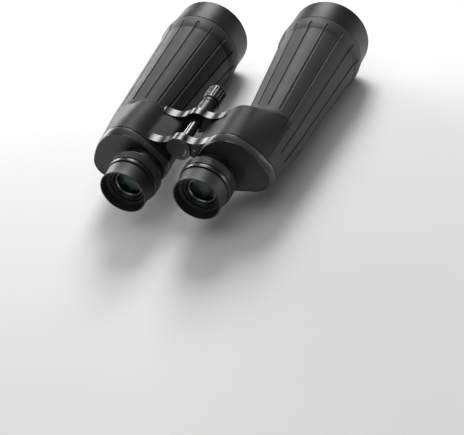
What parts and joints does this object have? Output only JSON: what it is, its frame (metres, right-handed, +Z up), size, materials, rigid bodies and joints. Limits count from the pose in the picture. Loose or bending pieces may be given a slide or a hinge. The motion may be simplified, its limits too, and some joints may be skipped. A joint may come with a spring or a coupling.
{
  "type": "astronomy binoculars",
  "caption": "Porro-prism binoculars with long ribbed armour on tapered barrels, individually focused eyepieces, fold-down eyecups, a saddle hinge and a tripod thread.",
  "frame": {"origin": "mouth of the tripod thread, on the hinge axis", "axes": "+Y is the viewing direction along the hinge axis, +X is the user's right, +Z is up"},
  "size_m": [0.2202, 0.2813, 0.085],
  "materials": {
    "housing_paint": "semi-gloss, very fine texture",
    "tube_anodised": "black anodised, satin",
    "sleeve_anodised": "black anodised, fine turned lines",
    "ring_anodised": "black anodised, knurled or ribbed",
    "cell_anodised": "matt black anodised",
    "shelf_aluminium": "plain machined",
    "armour_rubber": "finely textured",
    "eyecup_rubber": "smooth matt",
    "seal_rubber": "smooth",
    "gloss_black": "gloss",
    "white_paint": "satin",
    "coated_glass": "green multicoating",
    "prism_glass": "polished",
    "bright_ring": "bright bevel",
    "spring_steel": "plain",
    "washer_plastic": "smooth",
    "bush_brass": "machined"
  },
  "bodies": {
    "left_half": {"left_prism_housing": "housing_paint", "left_rear_cover": "housing_paint", "left_barrel_tube": "tube_anodised", "left_barrel_armour": "armour_rubber", "left_front_sleeve": "sleeve_anodised", "left_objective_cell": "cell_anodised", "left_crown_lens": "coated_glass", "left_flint_lens": "coated_glass", "left_lens_spacer": "cell_anodised", "left_objective_retaining_ring": "cell_anodised", "left_objective_o_ring": "seal_rubber", "left_light_baffles": "cell_anodised", "left_prism_shelf": "shelf_aluminium", "left_rear_prism": "prism_glass", "left_front_prism": "prism_glass", "left_prism_clips": "spring_steel", "left_shelf_screws": "spring_steel", "left_eyepiece_base": "tube_anodised", "hinge_shaft": "spring_steel", "hinge_sleeve": "gloss_black", "hinge_washers": "washer_plastic", "scale_cap": "gloss_black", "cap_screw": "gloss_black", "tripod_post": "tube_anodised", "thread_insert": "bush_brass", "knob_retaining_ring": "spring_steel"},
    "right_half": {"right_prism_housing": "housing_paint", "right_rear_cover": "housing_paint", "right_barrel_tube": "tube_anodised", "right_barrel_armour": "armour_rubber", "right_front_sleeve": "sleeve_anodised", "right_objective_cell": "cell_anodised", "right_crown_lens": "coated_glass", "right_flint_lens": "coated_glass", "right_lens_spacer": "cell_anodised", "right_objective_retaining_ring": "cell_anodised", "right_objective_o_ring": "seal_rubber", "right_light_baffles": "cell_anodised", "right_prism_shelf": "shelf_aluminium", "right_rear_prism": "prism_glass", "right_front_prism": "prism_glass", "right_prism_clips": "spring_steel", "right_shelf_screws": "spring_steel", "right_eyepiece_base": "tube_anodised", "hinge_bushes": "bush_brass", "index_dot": "white_paint"},
    "left_lens_carriage": {"left_lens_barrel": "tube_anodised", "left_eye_lens": "coated_glass", "left_field_lens": "coated_glass", "left_eye_retaining_ring": "bright_ring"},
    "left_ring": {"left_focus_ring": "ring_anodised", "left_eyecup": "eyecup_rubber"},
    "right_lens_carriage": {"right_lens_barrel": "tube_anodised", "right_eye_lens": "coated_glass", "right_field_lens": "coated_glass", "right_eye_retaining_ring": "bright_ring"},
    "right_ring": {"right_focus_ring": "ring_anodised", "right_eyecup": "eyecup_rubber"},
    "knob": {"tension_knob": "ring_anodised"}
  },
  "joints": [
    {"name": "interpupillary_hinge", "type": "hinge", "parent": "left_half", "child": "right_half", "pos_m": [0, 0, 0], "axis": [0, 1, 0], "range_deg": [-12, 45]},
    {"name": "tension_knob_turn", "type": "hinge", "parent": "left_half", "child": "knob", "pos_m": [0, 0, 0], "axis": [0, 1, 0], "range_deg": [-150, 150]},
    {"name": "left_focus_slide", "type": "slide", "parent": "left_half", "child": "left_lens_carriage", "axis": [0, 1, 0], "range_m": [-0.0025, 0.0025]},
    {"name": "left_focus_turn", "type": "hinge", "parent": "left_lens_carriage", "child": "left_ring", "pos_m": [-0.0362, -0.123, -0.014], "axis": [0, 1, 0], "range_deg": [-150, 150]},
    {"name": "right_focus_slide", "type": "slide", "parent": "right_half", "child": "right_lens_carriage", "axis": [0, 1, 0], "range_m": [-0.0025, 0.0025]},
    {"name": "right_focus_turn", "type": "hinge", "parent": "right_lens_carriage", "child": "right_ring", "pos_m": [0.0362, -0.123, -0.014], "axis": [0, 1, 0], "range_deg": [-150, 150]}
  ],
  "couplings": [
    {"joint": "left_focus_slide", "follows": "left_focus_turn", "m_per_rad": 0.00095},
    {"joint": "right_focus_slide", "follows": "right_focus_turn", "m_per_rad": 0.00095}
  ]
}
